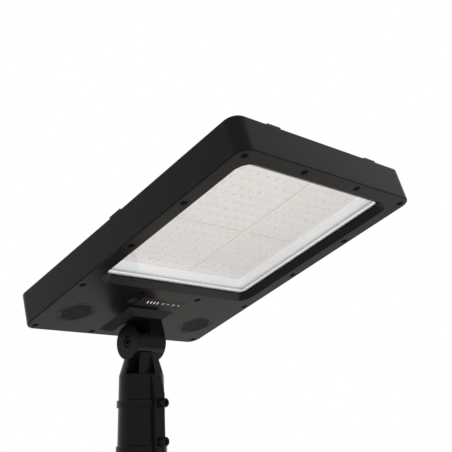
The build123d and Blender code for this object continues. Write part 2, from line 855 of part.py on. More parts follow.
with BuildPart() as lens_gasket:
    with BuildSketch(head_level(gasket_level)):
        with Locations((0, window_y)):
            RectangleRounded(lens_width, lens_length, lens_radius)
            RectangleRounded(
                window_width + 2 * lens_gasket_setback,
                window_length + 2 * lens_gasket_setback,
                window_radius,
                mode=Mode.SUBTRACT,
            )
    extrude(amount=lens_gasket_thickness)
save(lens_gasket, "lens_gasket")


# Reflector tray: flange on the frame, then two stepped walls up to the LED boards
tray_low_width = window_width + 2 * tray_margin
tray_low_length = window_length + 2 * tray_margin
with BuildPart() as reflector_tray:
    with BuildSketch(head_level(tray_level)):
        with Locations((0, window_y)):
            RectangleRounded(
                window_frame_width - 2 * tray_flange_inset,
                window_frame_length - 2 * tray_flange_inset,
                2 * window_radius,
            )
    extrude(amount=tray_sheet)
    for top, shrink in ((tray_step_level + tray_sheet, 0), (board_level, tray_step)):
        with BuildSketch(head_level(tray_level)):
            with Locations((0, window_y)):
                Rectangle(
                    tray_low_width + 2 * (tray_sheet - shrink), tray_low_length + 2 * (tray_sheet - shrink)
                )
        extrude(amount=top - tray_level)
    for top, shrink in ((tray_step_level, 0), (board_level, tray_step)):
        with BuildSketch(head_level(tray_level)):
            with Locations((0, window_y)):
                Rectangle(tray_low_width - 2 * shrink, tray_low_length - 2 * shrink)
        extrude(amount=top - tray_level, mode=Mode.SUBTRACT)
    with BuildSketch(head_level(tray_level)):
        with Locations(*tray_screw_places):
            Circle(tray_screw_radius + hole_gap)
    extrude(amount=tray_sheet, mode=Mode.SUBTRACT)
save(reflector_tray, "reflector_tray")

tray_screws = screw_group(
    tray_screw_places,
    tray_level + tray_sheet,
    -1,
    tray_screw_length,
    tray_screw_radius,
    tray_screw_head_radius,
    tray_screw_head_height,
)
save(tray_screws, "tray_screws")


# Four LED boards that meet at the two joints, each with its grid of LEDs facing down
for x_name, x_side in (("left", -1), ("right", 1)):
    for y_name, y_side in (("front", -1), ("rear", 1)):
        near_x = board_joint_x + x_side * board_joint_gap / 2
        far_x = x_side * board_width / 2
        near_y = board_joint_y + y_side * board_joint_gap / 2
        far_y = window_y + y_side * board_length / 2
        room_x = abs(far_x - board_joint_x) - led_joint_offset - led_edge_room
        room_y = abs(far_y - board_joint_y) - led_joint_offset - led_edge_room
        columns = int(room_x / led_pitch) + 1
        rows = int(room_y / led_pitch) + 1
        first_x = board_joint_x + x_side * led_joint_offset
        first_y = board_joint_y + y_side * led_joint_offset
        grid_x = first_x + x_side * led_pitch * (columns - 1) / 2
        grid_y = first_y + y_side * led_pitch * (rows - 1) / 2
        with BuildPart() as led_board:
            with BuildSketch(head_level(board_level)):
                with Locations(((near_x + far_x) / 2, (near_y + far_y) / 2)):
                    Rectangle(abs(far_x - near_x), abs(far_y - near_y))
            extrude(amount=board_thickness)
            with BuildSketch(head_level(board_level)):
                with Locations((grid_x, grid_y)):
                    with GridLocations(led_pitch, led_pitch, columns, rows):
                        Rectangle(led_size, led_size)
            extrude(amount=-led_height)
        save(led_board, f"led_board_{y_name}_{x_name}")

with BuildPart() as heat_spreader:
    with BuildSketch(head_level(spreader_level)):
        with Locations((0, window_y)):
            Rectangle(spreader_width, spreader_length)
        with Locations(*spreader_screw_places):
            Circle(small_screw_radius + hole_gap, mode=Mode.SUBTRACT)
    extrude(amount=spreader_thickness)
save(heat_spreader, "heat_spreader")

spreader_screws = screw_group(
    spreader_screw_places,
    spreader_level,
    1,
    deck_level - spreader_level,
    small_screw_radius,
    small_screw_head_radius,
    small_screw_head_height,
)
save(spreader_screws, "spreader_screws")


# Solar module in the recess of the housing: backsheet, cells, glass and edge seal
with BuildPart() as panel_backsheet:
    with BuildSketch(head_level(deck_top)):
        RectangleRounded(module_width, module_length, module_radius)
    extrude(amount=backsheet_thickness)
save(panel_backsheet, "panel_backsheet")

with BuildPart() as solar_cells:
    with BuildSketch(head_level(deck_top + backsheet_thickness)):
        with GridLocations(cell_width + cell_gap, cell_length + cell_gap, cell_columns, cell_rows):
            Rectangle(cell_width, cell_length)
    extrude(amount=cell_thickness)
save(solar_cells, "solar_cells")

with BuildPart() as solar_glass:
    with BuildSketch(head_level(module_top - glass_thickness)):
        RectangleRounded(module_width, module_length, module_radius)
    extrude(amount=glass_thickness)
    fillet(solar_glass.faces().sort_by(head_up)[-1].edges(), glass_round)
save(solar_glass, "solar_glass")

with BuildPart() as panel_seal:
    with BuildSketch(head_level(deck_top)):
        RectangleRounded(head_width - 2 * rim_width, head_length - 2 * rim_width, corner_radius - rim_width)
        RectangleRounded(module_width, module_length, module_radius, mode=Mode.SUBTRACT)
    extrude(amount=module_top - seal_setback - deck_top)
save(panel_seal, "panel_seal")


# Clips that hold the module: a block on the rim with a lip down onto the glass
clip_reach = rim_width + seal_width + clip_overlap
with BuildPart() as panel_clips:
    for x, y, along_x in clip_places:
        edge = (head_length if along_x else head_width) / 2
        side = copysign(1, y if along_x else x)
        for start, outer, height in (
            (head_height, clip_setback, clip_thickness),
            (module_top, rim_width + seal_width, head_height - module_top),
        ):
            middle = side * (edge - (outer + clip_reach) / 2)
            depth = clip_reach - outer
            with BuildSketch(head_level(start)):
                with Locations((x, middle) if along_x else (middle, y)):
                    Rectangle(clip_length if along_x else depth, depth if along_x else clip_length)
            extrude(amount=height)
    fillet(panel_clips.edges().group_by(head_up)[-1], clip_round)
    for start, radius in (
        (head_height, clip_screw_radius + hole_gap),
        (head_height + clip_thickness - clip_screw_sink, clip_screw_head_radius + hole_gap),
    ):
        with BuildSketch(head_level(start)):
            with Locations(*clip_screw_places):
                Circle(radius)
        extrude(amount=clip_thickness, mode=Mode.SUBTRACT)
save(panel_clips, "panel_clips")

clip_screws = screw_group(
    clip_screw_places,
    head_height + clip_thickness - clip_screw_sink,
    -1,
    clip_screw_length,
    clip_screw_radius,
    clip_screw_head_radius,
    clip_screw_head_height,
)
save(clip_screws, "clip_screws")


# Battery banks: cells side by side along the head, in a cradle under the deck, held by a strap
cell_start = bank_x - cell_can_length / 2
with BuildPart() as battery_cells:
    for side in (-1, 1):
        for y in cell_ys:
            with BuildSketch(head_across(side * cell_start)):
                with Locations((y, bank_level)):
                    Circle(cell_can_radius)
            extrude(amount=side * cell_can_length)
            with BuildSketch(head_across(side * (cell_start + cell_can_length))):
                with Locations((y, bank_level)):
                    Circle(cap_radius)
            extrude(amount=side * cap_height)
save(battery_cells, "battery_cells")

cradle_length = 2 * (bank_half + cradle_margin)
for name, side in (("left", -1), ("right", 1)):
    slot_start = cell_start - seat_gap
    slot_length = cell_can_length + cap_height + 2 * seat_gap
    with BuildPart() as cradle:
        with BuildSketch(head_level(cradle_low)):
            with Locations((side * (slot_start + slot_length / 2), bank_y)):
                Rectangle(slot_length + 2 * cradle_margin, cradle_length)
        extrude(amount=deck_level - cradle_low)
        for y in cell_ys:
            with BuildSketch(head_across(side * slot_start)):
                with Locations((y, bank_level)):
                    Circle(cell_can_radius + seat_gap)
            extrude(amount=side * slot_length, mode=Mode.SUBTRACT)
    save(cradle, f"battery_cradle_{name}")

    strap_low = bank_level - cell_can_radius - seat_gap - strap_sheet
    with BuildPart() as strap:
        with BuildSketch(head_across(side * bank_x - strap_width / 2)):
            with Locations((bank_y, (strap_low + deck_level) / 2)):
                Rectangle(2 * strap_leg, deck_level - strap_low)
            for end in (-1, 1):
                with Locations((bank_y + end * strap_screw_reach, deck_level - strap_sheet / 2)):
                    Rectangle(strap_foot, strap_sheet)
            with Locations((bank_y, (strap_low + strap_sheet + deck_level) / 2)):
                Rectangle(
                    2 * (strap_leg - strap_sheet), deck_level - strap_low - strap_sheet, mode=Mode.SUBTRACT
                )
        extrude(amount=strap_width)
        with BuildSketch(head_level(deck_level - strap_sheet)):
            with Locations(*[place for place in strap_screw_places if place[0] * side > 0]):
                Circle(small_screw_radius + hole_gap)
        extrude(amount=strap_sheet, mode=Mode.SUBTRACT)
    save(strap, f"battery_strap_{name}")

strap_screws = screw_group(
    strap_screw_places,
    deck_level - strap_sheet,
    1,
    strap_sheet + small_screw_bite,
    small_screw_radius,
    small_screw_head_radius,
    small_screw_head_height,
)
save(strap_screws, "strap_screws")


# Charge controller on its pillars, with its terminal blocks, coil and capacitors below
with BuildPart() as charge_controller:
    with BuildSketch(head_level(controller_level)):
        with Locations((0, controller_y)):
            Rectangle(controller_width, controller_length)
        with Locations(*controller_screw_places):
            Circle(small_screw_radius + hole_gap, mode=Mode.SUBTRACT)
    extrude(amount=board_thickness)
    for x, y, width, length, height in controller_blocks:
        with BuildSketch(head_level(controller_level)):
            with Locations((x, controller_y + y)):
                Rectangle(width, length)
        extrude(amount=-height)
    with BuildSketch(head_level(controller_level)):
        with Locations(*[(x, controller_y + y) for x, y in capacitor_places]):
            Circle(capacitor_radius)
    extrude(amount=-capacitor_height)
save(charge_controller, "charge_controller")

controller_screws = screw_group(
    controller_screw_places,
    controller_level,
    1,
    board_thickness + small_screw_length,
    small_screw_radius,
    small_screw_head_radius,
    small_screw_head_height,
)
save(controller_screws, "controller_screws")


# Backing plate and screws of the bracket
with BuildPart() as backing_plate:
    with BuildSketch(head_level(cover_thickness)):
        with Locations((0, pivot_rear)):
            Rectangle(backing_width, backing_length)
        with Locations(*bracket_screw_places):
            Circle(bracket_screw_radius + hole_gap, mode=Mode.SUBTRACT)
    extrude(amount=backing_thickness)
save(backing_plate, "bracket_backing_plate")

bracket_screws = screw_group(
    bracket_screw_places,
    cover_thickness + backing_thickness,
    -1,
    cover_thickness + backing_thickness + bracket_screw_depth - seat_gap,
    bracket_screw_radius,
    bracket_screw_head_radius,
    bracket_screw_head_height,
)
save(bracket_screws, "bracket_screws")


# Indicator panel: thin overlay outside, and inside a board whose LEDs stand in the cover's holes
with BuildPart() as indicator_overlay:
    with BuildSketch(head_level(0)):
        with Locations((0, indicator_y)):
            Rectangle(indicator_width, indicator_length)
    extrude(amount=indicator_thickness)
save(indicator_overlay, "indicator_overlay")

with BuildPart() as indicator_board:
    with BuildSketch(head_level(cover_thickness)):
        with Locations((0, indicator_y)):
            Rectangle(
                indicator_width - 2 * indicator_board_margin, indicator_length - 2 * indicator_board_margin
            )
    extrude(amount=board_thickness)
    with BuildSketch(head_level(indicator_thickness + seat_gap)):
        with Locations(*indicator_led_places):
            Circle(indicator_led_radius)
    extrude(amount=cover_thickness - indicator_thickness - seat_gap)
save(indicator_board, "indicator_board")


# Push button: bezel with its barrel and nut, cap, stem clip, return spring and contact block
def button_ring(level, radius, hole=0.0):
    """Sketch of a disc or a ring on the button's axis at a level of the head."""
    with BuildSketch(head_level(level)) as ring:
        with Locations((button_x, button_y)):
            Circle(radius)
            if hole > 0:
                Circle(hole, mode=Mode.SUBTRACT)
    return ring.sketch


floor_level = barrel_top - barrel_floor
cap_low = -bezel_flange - button_proud
cap_high = cap_low + button_depth
stem_top = barrel_top + retainer_thickness + stem_end
with BuildPart() as button_bezel:
    extrude(button_ring(-bezel_flange, bezel_radius), amount=bezel_flange)
    fillet(button_bezel.edges().group_by(head_up)[0], bezel_round)
    extrude(button_ring(0, barrel_radius), amount=barrel_top)
    cap_bore = button_ring(-bezel_flange, button_radius + running_gap)
    extrude(cap_bore, amount=floor_level + bezel_flange, mode=Mode.SUBTRACT)
    stem_bore = button_ring(floor_level, stem_radius + running_gap)
    extrude(stem_bore, amount=barrel_floor, mode=Mode.SUBTRACT)
save(button_bezel, "button_bezel")

with BuildPart() as button_nut:
    with BuildSketch(head_level(cover_thickness)):
        with Locations((button_x, button_y)):
            RegularPolygon(bezel_nut_flats / 2, 6, major_radius=False)
            Circle(barrel_radius + running_gap, mode=Mode.SUBTRACT)
    extrude(amount=bezel_nut_height)
save(button_nut, "button_nut")

with BuildPart() as power_button:
    extrude(button_ring(cap_low, button_radius), amount=button_depth)
    fillet(power_button.edges().group_by(head_up)[0], button_round)
    extrude(button_ring(cap_high, stem_radius), amount=stem_top - cap_high)
save(power_button, "power_button")

with BuildPart() as button_clip:
    extrude(button_ring(barrel_top, retainer_radius, stem_radius), amount=retainer_thickness)
save(button_clip, "button_clip")

with BuildPart() as button_spring:
    spring_ring = button_ring(cap_high, spring_radius, spring_radius - spring_wire)
    extrude(spring_ring, amount=floor_level - cap_high)
save(button_spring, "button_spring")

contact_low = cover_thickness + bezel_nut_height
contact_roof = stem_top + button_travel + contact_clear
with BuildPart() as switch_block:
    with BuildSketch(head_level(contact_low)):
        with Locations((button_x, button_y)):
            Rectangle(contact_size, contact_size)
    extrude(amount=contact_height)
    contact_bore = button_ring(contact_low, barrel_radius + running_gap)
    extrude(contact_bore, amount=contact_roof - contact_low, mode=Mode.SUBTRACT)
save(switch_block, "switch_block")


# Vent grilles: perforated discs set into the cover, each with a membrane behind it
grille_top = grille_sink + grille_thickness
hole_column_pitch = grille_pitch * cos(radians(30))
hole_columns = int(grille_hole_reach / hole_column_pitch)
hole_rows = int(grille_hole_reach / grille_pitch) + 1
hole_grid = [
    (hole_column_pitch * column, grille_pitch * (row + column % 2 / 2))
    for column in range(-hole_columns, hole_columns + 1)
    for row in range(-hole_rows, hole_rows + 1)
]
hole_offsets = [(x, y) for x, y in hole_grid if hypot(x, y) <= grille_hole_reach]
for name, (centre_x, centre_y) in zip(("left", "right"), grille_places):
    with BuildPart() as grille:
        with BuildSketch(head_level(grille_sink)):
            with Locations((centre_x, centre_y)):
                Circle(grille_radius)
            with Locations(*[(centre_x + x, centre_y + y) for x, y in hole_offsets]):
                Circle(grille_hole_radius, mode=Mode.SUBTRACT)
        extrude(amount=grille_thickness)
    save(grille, f"grille_{name}")

with BuildPart() as vent_membranes:
    with BuildSketch(head_level(grille_top)):
        with Locations(*grille_places):
            Circle(grille_radius - grille_ledge - hole_gap)
    extrude(amount=membrane_thickness)
save(vent_membranes, "vent_membranes")
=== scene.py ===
import bmesh
import bpy
import json
import math
from mathutils import Euler, Matrix, Vector


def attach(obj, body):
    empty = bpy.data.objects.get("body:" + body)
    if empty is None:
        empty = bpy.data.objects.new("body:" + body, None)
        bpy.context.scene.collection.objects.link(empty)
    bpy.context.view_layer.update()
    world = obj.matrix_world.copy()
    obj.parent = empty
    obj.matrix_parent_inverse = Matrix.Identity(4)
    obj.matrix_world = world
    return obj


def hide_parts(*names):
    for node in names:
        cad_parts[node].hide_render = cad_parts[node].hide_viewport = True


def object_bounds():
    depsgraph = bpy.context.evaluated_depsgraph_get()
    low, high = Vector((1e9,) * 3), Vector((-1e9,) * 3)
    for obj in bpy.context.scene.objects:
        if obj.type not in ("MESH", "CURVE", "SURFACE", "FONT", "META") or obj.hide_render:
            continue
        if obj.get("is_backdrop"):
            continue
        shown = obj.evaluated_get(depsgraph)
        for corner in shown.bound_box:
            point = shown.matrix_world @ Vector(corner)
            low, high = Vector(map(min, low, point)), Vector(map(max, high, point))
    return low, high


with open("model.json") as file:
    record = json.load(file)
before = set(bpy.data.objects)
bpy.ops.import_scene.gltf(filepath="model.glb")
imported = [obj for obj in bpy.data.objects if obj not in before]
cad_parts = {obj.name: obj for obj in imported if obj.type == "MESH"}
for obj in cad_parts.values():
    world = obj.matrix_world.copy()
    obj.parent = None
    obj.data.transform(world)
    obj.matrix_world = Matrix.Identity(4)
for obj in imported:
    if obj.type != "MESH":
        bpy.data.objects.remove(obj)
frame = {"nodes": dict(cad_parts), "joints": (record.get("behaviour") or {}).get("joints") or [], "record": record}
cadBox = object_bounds()
nodes = frame["nodes"]
joints = {joint["name"]: joint for joint in frame["joints"]}
print("frame loaded:", len(nodes), "nodes")

mm = 0.001

# The head has its own axes: x across, y towards the pole, z up from its underside
pivot = Vector(joints["head_tilt"]["pos_m"])
headUp = Vector(joints["button_press"]["axis"]).normalized()
headBack = Vector((0, headUp.z, -headUp.y))
tilt = math.atan2(headUp.y, headUp.z)
underside = {"pivotRear": 220.4, "pivotDrop": 44.7}   # pivot seen from the middle of the underside, in mm
headOrigin = pivot + headUp * underside["pivotDrop"] * mm - headBack * underside["pivotRear"] * mm


def headPoint(x, y, z):
    return headOrigin + Vector((x * mm, 0, 0)) + headBack * (y * mm) + headUp * (z * mm)


def headBoxOf(node):
    # extent of a node along the head's own axes, in mm
    points = [vertex.co - headOrigin for vertex in nodes[node].data.vertices]
    spans = []
    for axis in (Vector((1, 0, 0)), headBack, headUp):
        along = [point.dot(axis) / mm for point in points]
        spans.append((min(along), max(along)))
    return spans


def lowestLevelOf(node):
    return headBoxOf(node)[2][0]


def middle(span):
    return (span[0] + span[1]) / 2


# Shader maths: a Value is one socket, and an expression on Values adds Math nodes
class Value:
    def __init__(self, net, socket):
        self.net = net
        self.socket = socket

    def maths(self, operation, first, second):
        return self.net.add("ShaderNodeMath", {"operation": operation}, {0: first, 1: second})

    def __add__(self, other):
        return self.maths("ADD", self, other)

    def __radd__(self, other):
        return self.maths("ADD", other, self)

    def __mul__(self, other):
        return self.maths("MULTIPLY", self, other)

    def __rmul__(self, other):
        return self.maths("MULTIPLY", other, self)

    def __truediv__(self, other):
        return self.maths("DIVIDE", self, other)

    def __pow__(self, other):
        return self.maths("POWER", self, other)

    def __gt__(self, other):
        return self.maths("GREATER_THAN", self, other)

    def __lt__(self, other):
        return self.maths("LESS_THAN", self, other)

    def wave(self, pitch):
        # distance from the nearest multiple of the pitch
        return self.maths("PINGPONG", self, pitch / 2)


mixSockets = {"factor": 0, "low": 6, "high": 7, "result": 2}   # colour sockets of a Mix node, by place


class NodeNet:
    def __init__(self, tree):
        self.tree = tree

    def add(self, kind, settings=None, inputs=None, output=0):
        # a tuple of output names gives one Value for each
        node = self.tree.nodes.new(kind)
        for key, value in (settings or {}).items():
            setattr(node, key, value)
        for key, value in (inputs or {}).items():
            self.feed(node.inputs[key], value)
        if isinstance(output, tuple):
            return [Value(self, node.outputs[name]) for name in output]
        return Value(self, node.outputs[output])

    def feed(self, socket, value):
        if isinstance(value, Value):
            self.tree.links.new(value.socket, socket)
        elif hasattr(value, "__len__") and len(value) == 3 and len(socket.default_value) == 4:
            socket.default_value = (*value, 1)
        else:
            socket.default_value = value

    def mix(self, factor, low, high):
        inputs = {mixSockets["factor"]: factor, mixSockets["low"]: low, mixSockets["high"]: high}
        return self.add("ShaderNodeMix", {"data_type": "RGBA"}, inputs, mixSockets["result"])


bevelSamples = 4


class Finish(NodeNet):
    def __init__(self, name, colour, roughness, **constants):
        self.material = bpy.data.materials.new(name)
        self.material.use_nodes = True
        super().__init__(self.material.node_tree)
        self.shader = self.tree.nodes["Principled BSDF"]
        self.output = self.tree.nodes["Material Output"]
        self.roughness = roughness
        self.vary("Base Color", colour)
        self.vary("Roughness", roughness)
        for socketName, value in constants.items():
            self.vary(socketName.replace("_", " "), value)

    def vary(self, socketName, value):
        self.feed(self.shader.inputs[socketName], value)
        return self

    def uneven(self, pattern, spread):
        # roughness spread evenly about its plain value, by a pattern from 0 to 1
        return self.vary("Roughness", self.roughness - spread / 2 + spread * pattern)

    def place(self):
        # the frame's own coordinates, in metres: every object sits at the origin
        return self.add("ShaderNodeTexCoord", output="Object")

    def headPlace(self):
        # the same turned into the head's axes
        return self.add(
            "ShaderNodeMapping",
            {"vector_type": "TEXTURE"},
            {"Vector": self.place(), "Location": headOrigin, "Rotation": Euler((-tilt, 0, 0))},
        )

    def headParts(self):
        # x across the head, and y towards the pole
        return self.add("ShaderNodeSeparateXYZ", None, {0: self.headPlace()}, output=("X", "Y"))

    def noise(self, size, detail, vector=None):
        # cloud noise whose blobs are about size mm across
        inputs = {"Vector": vector or self.place(), "Scale": 1 / (size * mm), "Detail": detail}
        return self.add("ShaderNodeTexNoise", None, inputs)

    def bump(self, height, depth, strength, edge=0.0):
        # depth is the height's full range in mm; edge softens hard corners by that radius in mm
        inputs = {"Height": height, "Distance": depth * mm, "Strength": strength}
        if edge > 0:
            inputs["Normal"] = self.add("ShaderNodeBevel", {"samples": bevelSamples}, {"Radius": edge * mm})
        return self.vary("Normal", self.add("ShaderNodeBump", None, inputs))


# In the finishes a noise is (blob size in mm, detail)
# and a bump is (depth in mm, strength, edge radius in mm)
coat = {
    "colour": (0.0030, 0.0028, 0.0024),
    "light": (0.0045, 0.0042, 0.0037),
    "roughness": 0.3,
    "uneven": 0.08,
    "gloss": 0.098,
    "clouds": (34, 3),
    "grain": (0.5, 2),
    "bump": (0.012, 0.3, 0.6),
}


def powderCoat():
    finish = Finish("blackPowderCoat", coat["colour"], coat["roughness"], Specular_IOR_Level=coat["gloss"])
    clouds = finish.noise(*coat["clouds"])
    finish.vary("Base Color", finish.mix(clouds, coat["colour"], coat["light"]))
    finish.uneven(clouds, coat["uneven"])
    return finish.bump(finish.noise(*coat["grain"]), *coat["bump"]).material


turned = {"uneven": 0.14, "smears": (5, 3), "grain": (0.35, 2), "bump": (0.01, 0.4, 0.25)}


def turnedSteel(name, colour, roughness):
    finish = Finish(name, colour, roughness, Metallic=1.0)
    finish.uneven(finish.noise(*turned["smears"]), turned["uneven"])
    return finish.bump(finish.noise(*turned["grain"]), *turned["bump"]).material


oxide = {
    "bolts": {"colour": (0.004, 0.004, 0.004), "gloss": 0.1},
    # the screws are darker and duller than the bolts: painted shade of the recesses that their heads sit in
    "screws": {"colour": (0.0015, 0.0015, 0.0015), "gloss": 0.03},
    "button": {"colour": (0.006, 0.006, 0.006), "gloss": 0.12},
    "roughness": 0.4,
    "uneven": 0.14,
    "smears": (3, 3),
    "grain": (0.3, 2),
    "bump": (0.01, 0.4, 0.3),
}


def blackOxide(name, use):
    look = oxide[use]
    finish = Finish(name, look["colour"], oxide["roughness"], Specular_IOR_Level=look["gloss"])
    finish.uneven(finish.noise(*oxide["smears"]), oxide["uneven"])
    return finish.bump(finish.noise(*oxide["grain"]), *oxide["bump"]).material


rubber = {
    "colour": (0.003, 0.003, 0.003),
    "roughness": 0.7,
    "gloss": 0.05,
    "grain": (0.6, 2),
    "bump": (0.03, 0.5),
}


def sealRubber():
    finish = Finish("sealRubber", rubber["colour"], rubber["roughness"], Specular_IOR_Level=rubber["gloss"])
    return finish.bump(finish.noise(*rubber["grain"]), *rubber["bump"]).material


sheet = {
    "colour": (0.88, 0.88, 0.91),
    "roughness": 0.35,
    "uneven": 0.1,
    "gloss": 0.4,
    "clouds": (20, 2),
    "dents": (6, 2),
    "bump": (0.05, 0.15, 0.8),
}


def whiteSheet():
    finish = Finish("whiteReflector", sheet["colour"], sheet["roughness"], Specular_IOR_Level=sheet["gloss"])
    finish.uneven(finish.noise(*sheet["clouds"]), sheet["uneven"])
    return finish.bump(finish.noise(*sheet["dents"]), *sheet["bump"]).material


ledPitch = 19.7   # mm, both ways

mask = {
    "roughness": 0.75,
    "gloss": 0.1,
    "dark": (0.58, 0.53, 0.50),
    "light": (0.70, 0.65, 0.65),
    "mottle": (4, 4),
    "tint": (0.62, 0.58, 0.65),
    "tintPatches": (6, 3),
    "tintAbove": 0.56,
    "runColour": (0.55, 0.5, 0.45),
    "runShare": 0.25,
    "runHalfGaps": (6.6, 1.0),
    "padColour": (0.42, 0.38, 0.34),
    "padShare": 0.5,
    "padHalfSizes": (0.9, 1.3),
    "bump": (0.04, 0.4),
}


def solderMask():
    # white mask with faint copper runs and pads under it, at the LEDs' pitch and shares of it
    finish = Finish("ledBoardMask", mask["light"], mask["roughness"], Specular_IOR_Level=mask["gloss"])
    x, y = finish.headParts()
    runY, runX = mask["runHalfGaps"]
    padY, padX = mask["padHalfSizes"]
    runs = (y.wave(ledPitch * mm) > runY * mm) * (x.wave(ledPitch / 4 * mm) > runX * mm)
    pads = (y.wave(ledPitch / 2 * mm) < padY * mm) * (x.wave(ledPitch / 2 * mm) < padX * mm)
    mottled = finish.mix(finish.noise(*mask["mottle"]), mask["dark"], mask["light"])
    tinted = finish.mix(finish.noise(*mask["tintPatches"]) > mask["tintAbove"], mottled, mask["tint"])
    printed = finish.mix(runs * mask["runShare"], tinted, mask["runColour"])
    finish.vary("Base Color", finish.mix(pads * mask["padShare"], printed, mask["padColour"]))
    return finish.bump(runs, *mask["bump"]).material


ledBody = {"colour": (0.66, 0.61, 0.58), "roughness": 0.45, "grain": (0.8, 2), "bump": (0.01, 0.3)}


def ceramicWhite():
    finish = Finish("ledPackage", ledBody["colour"], ledBody["roughness"])
    return finish.bump(finish.noise(*ledBody["grain"]), *ledBody["bump"]).material


ledLens = {
    "dark": (0.54, 0.50, 0.38),
    "light": (0.68, 0.63, 0.50),
    "grain": (0.5, 2),
    "roughness": 0.3,
    "coat": 0.6,
}


def phosphor():
    finish = Finish("ledPhosphor", ledLens["light"], ledLens["roughness"], Coat_Weight=ledLens["coat"])
    finish.vary("Base Color", finish.mix(finish.noise(*ledLens["grain"]), ledLens["dark"], ledLens["light"]))
    return finish.material


aluminium = {
    "colour": (0.72, 0.72, 0.73),
    "roughness": 0.38,
    "uneven": 0.2,
    "stretch": (1, 0.04, 0.04),
    "streaks": (0.6, 3),
    "grain": (0.6, 2),
    "bump": (0.01, 0.3),
}


def bareAluminium():
    finish = Finish("millAluminium", aluminium["colour"], aluminium["roughness"], Metallic=1.0)
    inputs = {"Vector": finish.place(), "Scale": aluminium["stretch"]}
    stretched = finish.add("ShaderNodeMapping", None, inputs)
    finish.uneven(finish.noise(*aluminium["streaks"], stretched), aluminium["uneven"])
    return finish.bump(finish.noise(*aluminium["grain"], stretched), *aluminium["bump"]).material


glass = {
    "window": {"tint": (0.95, 0.97, 0.96), "clear": (0.97, 0.98, 0.975), "prism": 2.2},
    "module": {"tint": (0.9, 0.93, 0.95), "clear": (0.93, 0.95, 0.96), "prism": 0.0},
    "roughness": 0.06,
    "glossColour": (1, 1, 1),
    "glossRoughness": 0.05,
    "glossFacing": 0.025,
    "glossEdge": 0.45,
    "edgePower": 5,
    "blend": 0.5,
    "prismDepth": 0.05,
    "prismStrength": 0.3,
}


def glassSheet(name, use):
    # thin clear sheet: light passes straight through, and the surface keeps its gloss
    look = glass[use]
    finish = Finish(name, look["tint"], glass["roughness"])
    glossInputs = {"Color": glass["glossColour"], "Roughness": glass["glossRoughness"]}
    if look["prism"] > 0:
        pitch = look["prism"] * mm
        x, y = finish.headParts()
        height = x.wave(pitch) / pitch + y.wave(pitch) / pitch
        lift = {"Height": height, "Distance": glass["prismDepth"] * mm, "Strength": glass["prismStrength"]}
        glossInputs["Normal"] = finish.add("ShaderNodeBump", None, lift)
    through = finish.add("ShaderNodeBsdfTransparent", None, {"Color": look["clear"]})
    gloss = finish.add("ShaderNodeBsdfGlossy", None, glossInputs)
    facing = finish.add("ShaderNodeLayerWeight", None, {"Blend": glass["blend"]}, output="Facing")
    share = glass["glossFacing"] + glass["glossEdge"] * facing ** glass["edgePower"]
    join = finish.add("ShaderNodeMixShader", None, {0: share, 1: through, 2: gloss})
    finish.feed(finish.output.inputs["Surface"], join)
    return finish.material


silicon = {
    "dark": (0.008, 0.013, 0.035),
    "light": (0.016, 0.024, 0.06),
    "crystals": (26, 3),
    "roughness": 0.3,
    "gloss": 0.3,
    "fingerPitch": 2.0,
    "fingerHalfWidth": 0.05,
    "fingerShare": 0.15,
    "fingerColour": (0.3, 0.31, 0.34),
}


def siliconCell():
    # fine silver fingers across dark blue cells
    colour, roughness = silicon["light"], silicon["roughness"]
    finish = Finish("siliconCell", colour, roughness, Specular_IOR_Level=silicon["gloss"])
    y = finish.headParts()[1]
    fingers = y.wave(silicon["fingerPitch"] * mm) < silicon["fingerHalfWidth"] * mm
    crystal = finish.mix(finish.noise(*silicon["crystals"]), silicon["dark"], silicon["light"])
    shown = finish.mix(fingers * silicon["fingerShare"], crystal, silicon["fingerColour"])
    return finish.vary("Base Color", shown).material


moulded = {
    "backsheet": {"colour": (0.7, 0.7, 0.7), "roughness": 0.6},
    "sleeve": {"colour": (0.02, 0.09, 0.3), "roughness": 0.3},
    "black": {"colour": (0.02, 0.02, 0.02), "roughness": 0.5},
    "clouds": (12, 2),
    "lighter": 1.25,
    "lift": 0.004,
    "grain": (0.5, 2),
    "bump": (0.02, 0.4, 0.3),
}


def plastic(name, colour, roughness, grain=moulded["grain"]):
    finish = Finish(name, colour, roughness)
    lighter = tuple(min(1, channel * moulded["lighter"] + moulded["lift"]) for channel in colour)
    finish.vary("Base Color", finish.mix(finish.noise(*moulded["clouds"]), colour, lighter))
    return finish.bump(finish.noise(*grain), *moulded["bump"]).material


circuit = {
    "dark": (0.008, 0.07, 0.025),
    "light": (0.02, 0.16, 0.06),
    "roughness": 0.4,
    "pitches": (3.2, 5.4),
    "halfGaps": (1.2, 2.3),
    "bump": (0.05, 0.4),
}


def circuitBoard():
    finish = Finish("circuitBoard", circuit["dark"], circuit["roughness"])
    runs = [
        along.wave(pitch * mm) > halfGap * mm
        for along, pitch, halfGap in zip(finish.headParts(), circuit["pitches"], circuit["halfGaps"])
    ]
    share = (runs[0] + runs[1]) / len(runs)
    finish.vary("Base Color", finish.mix(share, circuit["dark"], circuit["light"]))
    return finish.bump(share, *circuit["bump"]).material


film = {
    "colour": (0.0145, 0.0105, 0.0105),
    "roughness": 0.5,
    "uneven": 0.1,
    "gloss": 0.1,
    "smears": (8, 2),
    "grain": (1.2, 2),
    "bump": (0.01, 0.3, 0.2),
}


def printedFilm():
    finish = Finish("indicatorFilm", film["colour"], film["roughness"], Specular_IOR_Level=film["gloss"])
    finish.uneven(finish.noise(*film["smears"]), film["uneven"])
    return finish.bump(finish.noise(*film["grain"]), *film["bump"]).material


paint = {
    "colour": (0.0035, 0.0033, 0.003),
    "roughness": 0.35,
    "uneven": 0.1,
    "gloss": 0.09,
    "smears": (2, 2),
    "grain": (0.4, 2),
    "bump": (0.01, 0.3, 0.15),
}


